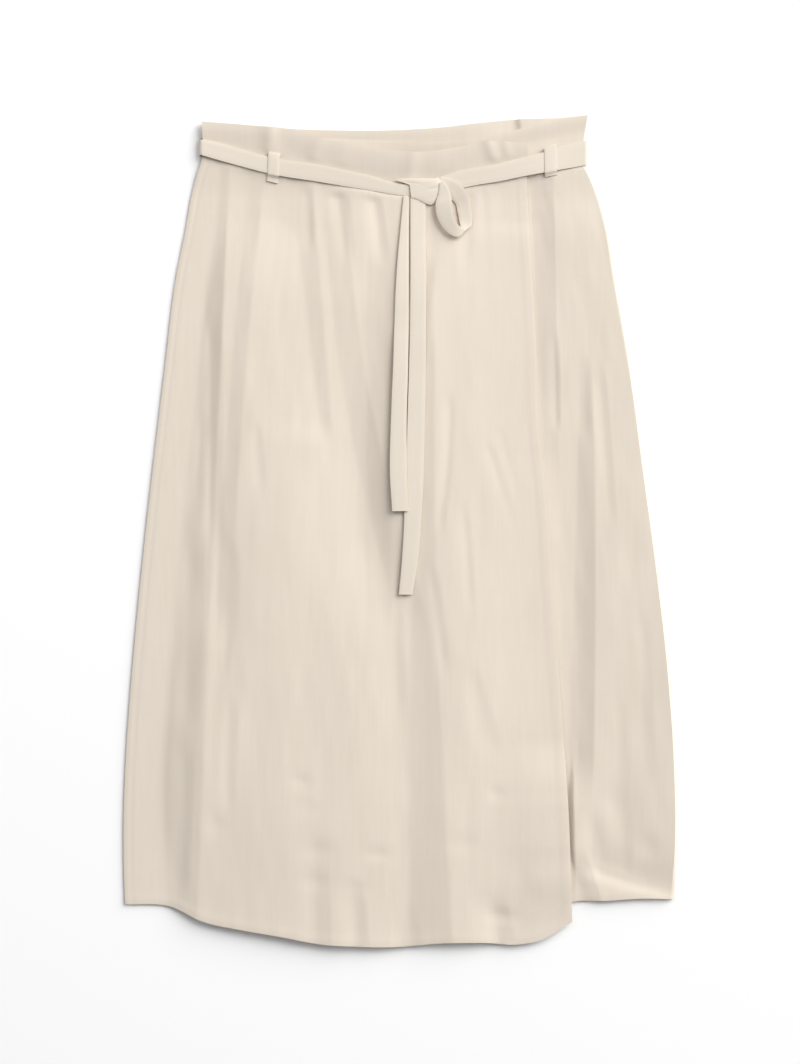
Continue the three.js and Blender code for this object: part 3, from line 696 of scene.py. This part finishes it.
# %% Over front
SIDE_GROOVE = dict(inward=6, half=1.3, depth=0.35)


def columns_over(u, y):
    """From the left side to the free edge."""
    return mix(side_left(y), edge_over(y), u)


def upper_over(x, y):
    """The over front's outer side, with a groove of depth times exp(-(distance / half) squared)."""
    inward = x - side_left(y)
    aside = (inward - SIDE_GROOVE["inward"]) / SIDE_GROOVE["half"]
    groove = SIDE_GROOVE["depth"] * np.exp(-(aside**2))
    side_seam = SEAM_DROP * (1 - smooth(0, 2 * SEAM_WIDE, inward))
    turned = hem_fold(np.minimum(y - hem_over(x), edge_over(y) - x))
    return under_over(x, y) + CLOTH - SET_DOWN + turned - side_seam - groove


over = panel("front_over_cloth", (190, 245), columns_over, ((seam_over, WAIST_Y), (hem_over, HEM_Y)),
             upper_over, LINEN_THICK)
dress(over, linen, "linen", "front_over")

# %% [markdown]
# ## Waistbands
#
# A waistband is a doubled strip sewn to the top of each panel. On the laid skirt the three stand
# a little apart at their rims, which gives the soft shade below each rim. The belt pulls creases
# into the front one, and the back one has a dart that shows on its inside as a short dark line.

# %% Waistband shapes
RIDGES = table("x slant half height", [
    (-129, 4, 6, 0.8), (-117, -8, 9, 0.5), (-86, 7, 7, 0.7), (-58, 3, 10, 0.4), (8, 3, 7, 0.7),
    (40, -4, 12, 0.3), (92, -7, 6, 0.9), (104, -4, 5, 0.5),
])
RIDGE_LEAN, RIDGE_START = 20, 8  # heights over which a ridge leans by its slant, and starts
RIM_Y = 380
RIM_STAND = dict(back=2.0, under=2.2, over=3.2)
RIM_DOWN = dict(back=22, under=18, over=34)
RIM_SHOWS = (-40, 30)
DART = dict(x=110, y=395, slant=0.15, gentle=26, steep=4.5, depth=1.9, grows=(368, 392))


def standing(layer, y, top):
    """How far the upper rim of a layer stands up from the one beneath."""
    return RIM_STAND[layer] * smooth(RIM_DOWN[layer], 0, top - y)


def band_back(x, y):
    """The back band, seen from inside, with a dart shaped as a fold is."""
    away = x - DART["x"] - DART["slant"] * (DART["y"] - y)
    gentle = np.exp(-((away / DART["gentle"]) ** 2))
    steep = 1 - np.clip(away / DART["steep"], 0, 1) ** CREST_POWER
    dart = DART["depth"] * np.where(away > 0, steep, gentle) * smooth(*DART["grows"], y)
    return lift(x, y) + CLOTH - dart + standing("back", y, top_back(x))


def band_under(x, y):
    """The under front's band, whose rim stands up where it shows."""
    shown = smooth(*RIM_SHOWS, x)
    return lift(x, y) + LAYER + CLOTH + shown * standing("under", y, top_under(x))


def band_over(x, y):
    """The front band, with soft ridges from the belt to its rim: height times
    exp(-(distance / half) squared)."""
    ridges = np.zeros_like(x)
    above_belt = y - belt_upper(x)
    for place, slant, half, height in zip(*RIDGES.values()):
        line = place + slant * above_belt / RIDGE_LEAN
        ridges += height * np.exp(-(((x - line) / half) ** 2))
    ridges *= smooth(0, RIDGE_START, above_belt)
    return stacked(x, y) + CLOTH + ridges + standing("over", y, top_over(x))


# %% Three waistbands
for layer, across, x_at, top, seam, upper in [
    ("back", 190, columns_back, top_back, seam_back, band_back),
    ("under", 150, columns_under, top_under, seam_under, band_under),
    ("over", 200, columns_over, top_over, seam_over, band_over),
]:
    ends = (top, RIM_Y), (seam, WAIST_Y)
    band = panel(f"waistband_{layer}_cloth", (across, 20), x_at, ends, upper, CLOTH - 0.1)
    dress(band, linen, "linen", f"waistband_{layer}")

# %% [markdown]
# ## Belt round the waist
#
# The belt is a narrow strip, folded, turned and pressed flat, so it has two smooth faces and
# rounded edges. It is one ribbon carried along a path: from the knot to the left, round the left
# side, along the back, round the right side and back to the knot.

# %% Belt path
KNOT = dict(left=8.3, right=38.2, top=338.5, bottom_left=320, bottom_right=313)
TUCK = 4  # how far the belt runs in beneath the knot
PROUD = 1.0  # how far it stands off the cloth, as it isn't pulled tight
LEFT_STEPS, RIGHT_STEPS, BACK_STEPS, TURN_STEPS = 110, 80, 60, 13


def belt_front(x):
    """Middle and half edge on the front, standing a little off the cloth."""
    upper, lower = belt_upper(x), belt_lower(x)
    high, low = cover(x, upper), cover(x, lower)
    middle = points_at(x, seam_over(x), (high + low) / 2 + PROUD + GAP + BELT / 2)
    return middle, points_at(0, (lower - upper) / 2, (low - high) / 2)


def belt_turn(centre, direction, y_flat, angles, bottom, top):
    """A half circle round the side, from the front's height and width to the back's."""
    radius = (top - bottom) / 2
    x = centre + direction * radius * np.cos(angles)
    z = bottom + radius + radius * np.sin(angles)
    share = smooth(bottom, top, z)
    y = mix(y_flat, seam_over(x), share)
    half = mix(BELT_BACK["half"], (belt_upper(x) - belt_lower(x)) / 2, share)
    return points_at(x, y, z), points_at(0, -half, 0)


def belt_path():
    """The stretches one after another."""
    bottom = BELT / 2
    at_left = np.array(BELT_BACK["left"]), np.array(BELT_BACK["y_left"])
    top = float(cover(*at_left)) + PROUD + GAP + BELT / 2
    radius = (top - bottom) / 2
    left = BELT_BACK["left"] + BELT / 2 + radius
    right = BELT_BACK["right"] - BELT / 2 - radius
    down = np.linspace(math.pi / 2, -math.pi / 2, TURN_STEPS)
    across = np.linspace(left, right, BACK_STEPS)[1:-1]
    y = mix(BELT_BACK["y_left"], BELT_BACK["y_right"], (across - left) / (right - left))
    flat = points_at(across, y, bottom)
    flat_edge = points_at(0 * across, -BELT_BACK["half"], 0)
    parts = [
        belt_front(np.linspace(KNOT["left"] + TUCK, left + 1, LEFT_STEPS)),
        belt_turn(left, -1, BELT_BACK["y_left"], down, bottom, top),
        (flat, flat_edge),
        belt_turn(right, 1, BELT_BACK["y_right"], -down, bottom, top),
        belt_front(np.linspace(right - 1, KNOT["right"] - TUCK, RIGHT_STEPS)),
    ]
    return [np.concatenate([part[k] for part in parts]) for k in (0, 1)]


belt, length = ribbon("belt_round_waist", *belt_path(), BELT)
dress(belt, pressed_linen, "belt_linen", "belt_back", "belt_front_left", "belt_front_right")
print("belt round the waist, mm:", round(length))

# %% [markdown]
# ## Belt loops
#
# A loop is a strip of linen 11 mm wide, sewn to the skirt above and below the belt. Its outer side
# is worked out from stations along it: over the belt's upper edge, across the belt, and down on
# the cloth. The upper end is folded under, so its outer side stays nearly as high as on the belt.
# The lower end is turned in and stands up as a small roll.

# %% Two belt loops
LOOPS = dict(
    belt_loop_left=dict(x=-122, slant=-2.4, half=5.4, head=4.8, foot=7.6),
    belt_loop_right=dict(x=144.4, slant=1.6, half=6, head=3.8, foot=4.4),
)
LOOP_ROLL, LOOP_ROUND = 0.15, 0.25
LOOP_STEPS, LOOP_COLUMNS = 55, 11
ON_BELT = PROUD + BELT + 0.1  # a loop's inner side above the cloth where it crosses the belt


def belt_loop(x, slant, half, head, foot):
    """Stations: share of the belt's width, distance beyond its edge, and how far the inner and
    the outer side are up on the belt. At the upper end only the outer one is. Points between
    two stations are mixed, and each side falls by the fifth power of the distance across."""
    share = [1, 1, 1, 1, 0.5, 0, 0, 0, 0, 0]
    offset = [head, 0.85 * head, 0.6 * head, 0.1 * head, 0, -0.8, -2.4, -3.6, 0.4 - foot, -foot]
    over_belt = [0, 0.12, 0.45, 1, 1, 1, 0.3, 0, 0, 0]
    outside = [0.8, 0.86, 0.92, 1, 1, 1, 0.3, 0, 0, 0]
    roll = [0, 0, 0, 0, 0, 0, 0, 0.2, 1, 0.6]
    stations = np.arange(len(share))
    finer = np.linspace(0, len(share) - 1, LOOP_STEPS)
    share, offset, over_belt, outside, roll = (
        np.interp(finer, stations, row)[:, None]
        for row in (share, offset, over_belt, outside, roll))
    v = np.linspace(0, 1, LOOP_STEPS)[:, None]
    s = np.linspace(-1, 1, LOOP_COLUMNS)[None, :]
    xs = x + slant * (v - 0.5) + half * s
    ys = mix(belt_lower(xs), belt_upper(xs), share) + offset
    cloth = cover(xs, ys) + relief_over(xs, ys) * (1 - over_belt)
    base = cloth + GAP + ON_BELT * over_belt
    raised = ON_BELT * (outside - over_belt)
    upper = base + raised + LOOP + LOOP_ROLL * roll - LOOP_ROUND * np.abs(s) ** 5
    return points_at(xs, ys, upper), points_at(xs, ys, base), points_at(half * s, ys)


for name, sizes in LOOPS.items():
    loop = wall(name + "_cloth", *belt_loop(**sizes))
    dress(loop, pressed_linen, "linen", name)

# %% [markdown]
# ## Knot
#
# The knot is the belt wound once round itself and pulled flat. Its front is one slanted stretch of
# the strip, so it is a low block with soft edges: the upper left corner runs out along the belt,
# the right side is pinched where the bow comes out, and fine pull creases cross it.

# %% The knot's block
KNOT_WALL, KNOT_DOME, KNOT_SLOPE = 1.6, 0.7, 1.2
KNOT_GRID = (57, 45)
KNOT_POINT, POINT_DOWN = 12.5, 0.34  # the left corner runs out along the belt
KNOT_PINCH, PINCH_FROM = 3.5, 0.45  # the right side draws in lower down
KNOT_RISE, RISE_FROM = 4, 0.75  # the lower edge comes up again at the right
PULLS = table("down lean half depth starts whole", [
    (0.62, -0.3, 0.05, 0.35, 0.45, 0.8), (0.98, -0.3, 0.05, 0.3, 0.5, 0.85),
    (0.22, 0.05, 0.06, 0.25, 0.6, 0.1),
])


def knot():
    """Two grids, corner to corner: the upper one domed, the lower one on the belt. A pull crease
    has a depth times exp(-(distance / half) squared) that grows along it."""
    u, v = np.meshgrid(*(np.linspace(0, 1, count) for count in KNOT_GRID))
    base = cover(0.0, KNOT["top"]) + 2 * GAP + BELT
    low = mix(KNOT["bottom_left"], KNOT["bottom_right"], smooth(0, RISE_FROM, u))
    low = low + KNOT_RISE * smooth(RISE_FROM, 1, u)
    left = KNOT["left"] - KNOT_POINT * smooth(POINT_DOWN, 0.0, v) + 2 * v
    right = KNOT["right"] + 0.8 - KNOT_PINCH * smooth(PINCH_FROM, 1, v)
    x = mix(left, right, u)
    y = mix(KNOT["top"] - 1.2 * (2 * u - 1) ** 6, low, v)
    rounded = (1 - (2 * u - 1) ** 6) * (1 - (2 * v - 1) ** 4)
    slope = KNOT_SLOPE * (u - 0.5)
    pulls = np.zeros_like(u)
    for down, lean, half, depth, starts, whole in zip(*PULLS.values()):
        pulls += depth * np.exp(-(((v - down - lean * u) / half) ** 2)) * smooth(starts, whole, u)
    upper = base + KNOT_WALL + (KNOT_DOME + slope - pulls) * rounded
    return points_at(x, y, upper), points_at(x, y, base), points_at(x, y)


tied = wall("belt_knot_cloth", *knot())
dress(tied, pressed_linen, "belt_linen", "belt_knot")

# %% [markdown]
# ## Half bow
#
# One end is pulled through the knot only half way, which leaves a loop. The strip lies nearly flat
# all the way: it leaves the knot to the right, runs down, turns round at the bottom, and comes back
# up in front of itself, a few millimetres higher. Each row below is a station on it, with its
# middle, how far that is above the cloth, and half of the strip's width as a direction. The loop
# stays open, so its inside is dark between the two stretches.

# %% The bow's ribbon
BOW = table("x y rise wx wy wz", [
    (38.0, 333.5, 1.2, 0.6, 6.4, 0.2), (46.0, 330.6, 1.4, 3.4, 6.4, 0.6),
    (53.0, 325.4, 1.7, 6.0, 5.6, 1.0), (59.0, 317.5, 2.0, 6.2, 3.2, 1.0),
    (61.2, 308.0, 2.2, 6.4, 1.6, 0.6), (62.6, 299.0, 2.4, 6.2, 0.8, 0.4),
    (62.8, 291.6, 2.8, 5.0, 1.4, -0.4), (60.0, 286.4, 3.6, 2.8, 3.4, -0.2),
    (54.0, 287.0, 4.8, 3.0, 4.6, 0.6), (47.4, 292.6, 5.4, 5.0, 4.0, 1.0),
    (42.8, 302.5, 5.6, 7.2, 2.2, 1.2), (41.4, 314.0, 5.4, 7.8, 1.2, 1.2),
    (41.8, 324.0, 4.6, 5.6, 1.4, 0.7), (39.6, 334.8, 3.2, 2.2, 0.8, 0.1),
])
BOW_THICK, BOW_STEPS = 1.0, 150


def bow():
    """A smooth curve through the stations, each at its height above what lies beneath."""
    stations = np.arange(len(BOW["x"]), dtype=float)
    flat_cloth = cover(BOW["x"], BOW["y"]) + GAP + BELT
    rests = np.maximum(flat_cloth, under_over(BOW["x"], BOW["y"]) + CLOTH)
    rows = dict(BOW, k=stations, z=rests + BOW["rise"])
    k = np.linspace(0, stations[-1], BOW_STEPS)
    columns = [curve(rows, "k", name)(k) for name in ("x", "y", "z", "wx", "wy", "wz")]
    return points_at(*columns[:3]), points_at(*columns[3:])


half_bow, length = ribbon("belt_bow_cloth", *bow(), BOW_THICK, across=12)
dress(half_bow, pressed_linen, "belt_linen", "belt_bow")
print("strip in the bow, mm:", round(length))

# %% [markdown]
# ## Hanging ends
#
# Both ends lie down the front, the short one partly on the long one. Each is a ribbon along its
# own centre line. Its height at a place is the highest cloth near there, so it clears every fold
# as a limp strip that bridges small hollows does.

# %% Two hanging ends
END_TOP, END_STEPS = 322, 120
END_CLEAR, END_REACH, END_SUNK = 4, 14, 0.2
ENDS_CROSS = (200, 150)
END_SHORT = table("y x half", [
    (19, -0.1, 7.7), (49, -1.7, 8.2), (107, -1.6, 7.5), (155, 0.0, 7.2), (251, 2.2, 5.7),
    (304, 4.5, 3.4), (321.4, 5.3, 2.6),
])
END_LONG = table("y x half", [
    (-61, 4.9, 6.5), (-28, 9.1, 7.7), (30, 12.7, 8.4), (107, 15.1, 8.4), (193, 16.8, 7.7),
    (320.8, 16.8, 7.2),
])


def rest_over(x, y, half):
    """Height at which a ribbon on the over front clears every fold near a place."""
    reach = np.minimum(END_REACH, (END_TOP - y) / 2)
    heights = [
        under_over(x + dx * (half + END_CLEAR), y + dy * reach)
        for dx in (-1, -0.5, 0, 0.5, 1) for dy in (-1, 0, 1)
    ]
    return np.max(heights, axis=0) + CLOTH - END_SUNK


def hanging_end(name, rows, below):
    """A hanging end on the over front or, further down, on the other end."""
    at, half = curve(rows, "y", "x"), curve(rows, "y", "half")

    def rest(y):
        own = rest_over(at(y), y, half(y))
        crossed = np.maximum(own, below(y) + BELT + 2 * GAP)
        return mix(own, crossed, smooth(*ENDS_CROSS, y))

    y = np.linspace(rows["y"][-1], rows["y"][0], END_STEPS)
    middle = points_at(at(y), y, rest(y) + BELT / 2)
    piece, length = ribbon(name + "_cloth", middle, points_at(half(y), 0, 0), BELT)
    dress(piece, pressed_linen, "belt_linen", name)
    print(name, "length, mm:", round(length))
    return rest


rest_long = hanging_end("belt_end_long", END_LONG, lambda y: 0 * y)
hanging_end("belt_end_short", END_SHORT, rest_long)

# %% [markdown]
# ## Stitches
#
# The hems and the free edge are sewn with cotton thread in nearly the shade of the cloth. A stitch
# of a lockstitch machine is about 3 mm long. Each is a small bead pointed at both ends, pressed
# half into the cloth, and the rows on one front are one joined mesh from arrays.

# %% Thread
THREAD_TWIST = 0.4 * MM


def sewing_thread(name, colour):
    """Mercerised cotton: smoother than linen, so it has a soft gloss."""
    material, tree = new_material(name)
    place = node(tree, "ShaderNodeTexCoord").outputs["Object"]
    twist = node(tree, "ShaderNodeTexNoise", {"Vector": place, "Scale": 1 / THREAD_TWIST})
    bump = node(tree, "ShaderNodeBump", {
        "Height": twist.outputs["Fac"], "Strength": 0.2, "Distance": 0.2 * MM})
    shader = node(tree, "ShaderNodeBsdfPrincipled", {
        "Base Color": linear(colour), "Roughness": 0.6, "Normal": bump.outputs[0]})
    node(tree, "ShaderNodeOutputMaterial", {"Surface": shader.outputs[0]})
    return material


thread = sewing_thread("cotton_sewing_thread", "e0d5c7")

# %% Rows of stitches
STITCH = dict(pitch=3.4, half=1.25, wide=0.22, high=0.2, sunk=0.06)


def stitch_row(xs, ys, upper):
    """Middles a pitch apart along a line on the cloth, and the direction at each."""
    line = points_at(xs, ys, upper(xs, ys))
    reach = np.concatenate([[0], np.cumsum(np.linalg.norm(np.diff(line, axis=0), axis=1))])
    at = np.arange(STITCH["pitch"], reach[-1] - STITCH["pitch"], STITCH["pitch"])
    middles, ahead = (
        points_at(*(np.interp(place, reach, column) for column in line.T)) for place in (at, at + 1))
    ahead -= middles
    return middles, ahead / np.linalg.norm(ahead, axis=1, keepdims=True)


def stitches(name, rows):
    """One mesh of pointed beads. Each has a tip at both ends and four points round its middle."""
    middles, ahead = (np.concatenate(parts) for parts in zip(*rows))
    aside = np.cross(ahead, (0, 0, 1.0))
    up = np.cross(aside, ahead)
    ring = [aside * STITCH["wide"], up * STITCH["high"], -aside * STITCH["wide"], -up * STITCH["high"]]
    corners = np.stack([ahead * STITCH["half"], *ring, -ahead * STITCH["half"]], 1)
    points = middles[:, None] + corners + np.array([0, 0, -STITCH["sunk"]])
    faces = np.array([
        (0, 1, 2), (0, 2, 3), (0, 3, 4), (0, 4, 1), (5, 2, 1), (5, 3, 2), (5, 4, 3), (5, 1, 4)])
    faces = faces[None] + 6 * np.arange(len(middles))[:, None, None]
    dress(new_object(name, points.reshape(-1, 3), faces.reshape(-1, 3)), thread, "linen")


INSET = HEM_WIDE - 2
hem_x = np.linspace(-258, 154, 400)
free_y = np.linspace(-366, 338, 600)
strip_x = np.linspace(170, 257, 120)
stitches("stitches_over_front", [
    stitch_row(hem_x, hem_over(hem_x) + INSET, upper_over),
    stitch_row(edge_over(free_y) - INSET, free_y, upper_over),
])
stitches("stitches_under_front", [stitch_row(strip_x, hem_under(strip_x) + INSET, upper_under)])

# %% [markdown]
# ## Surface, light and camera
#
# The surface is matt white paper. One broad soft light stands low at the upper right, so folds
# shade softly and the skirt's shadow falls to the lower left. A second one fills in from above the
# waist, and an even white surround lifts the shade. The camera looks straight down at the middle.
# The lights' and the camera's places are in metres.

# %% Paper and light
SPAN = 6000


def flat_floor():
    """A square of paper under everything, SPAN from the middle to each side."""
    corners = SPAN * np.array([(-1, -1, 0), (1, -1, 0), (1, 1, 0), (-1, 1, 0)])
    floor = new_object("floor", corners, np.array([(0, 1, 2, 3)]))
    material, tree = new_material("matt_white_paper")
    shader = node(tree, "ShaderNodeBsdfPrincipled", {"Base Color": linear("fbfbfb"), "Roughness": 1.0})
    node(tree, "ShaderNodeOutputMaterial", {"Surface": shader.outputs[0]})
    floor.data.materials.append(material)


def area_light(name, place, size, power):
    """A square soft light that looks at the middle of the skirt."""
    light = bpy.data.lights.new(name, "AREA")
    light.size = size
    light.energy = power
    lamp = bpy.data.objects.new(name, light)
    bpy.context.collection.objects.link(lamp)
    lamp.location = place
    x, y, z = place
    lamp.rotation_euler = (math.atan2(math.hypot(x, y), z), 0, math.atan2(y, x) + math.pi / 2)


flat_floor()
area_light("key_upper_right", place=(6.4, 5.4, 5.0), size=8.5, power=1530)
area_light("soft_above_waist", place=(-0.9, 1.5, 2.0), size=1.6, power=11)
world = bpy.data.worlds.new("white_surround")
world.use_nodes = True
background = world.node_tree.nodes["Background"].inputs
background["Color"].default_value = (1, 1, 1, 1)
background["Strength"].default_value = 0.3
bpy.context.scene.world = world
bpy.context.scene.view_settings.view_transform = "Standard"

# %% Camera
LENS, SENSOR = 85, 36  # millimetres
FRAME_HEIGHT = 1.0214  # what the picture's long side takes in
CAMERA_X, CAMERA_Y = -0.0005, -0.001
FOCUS_HEIGHT = 0.008

lens_data = bpy.data.cameras.new("camera")
lens_data.lens = LENS
lens_data.sensor_width = SENSOR
camera = bpy.data.objects.new("camera", lens_data)
bpy.context.collection.objects.link(camera)
distance = LENS / SENSOR * FRAME_HEIGHT
camera.location = (CAMERA_X, CAMERA_Y, FOCUS_HEIGHT + distance)
bpy.context.scene.camera = camera
print("camera height, m:", round(camera.location.z, 2))
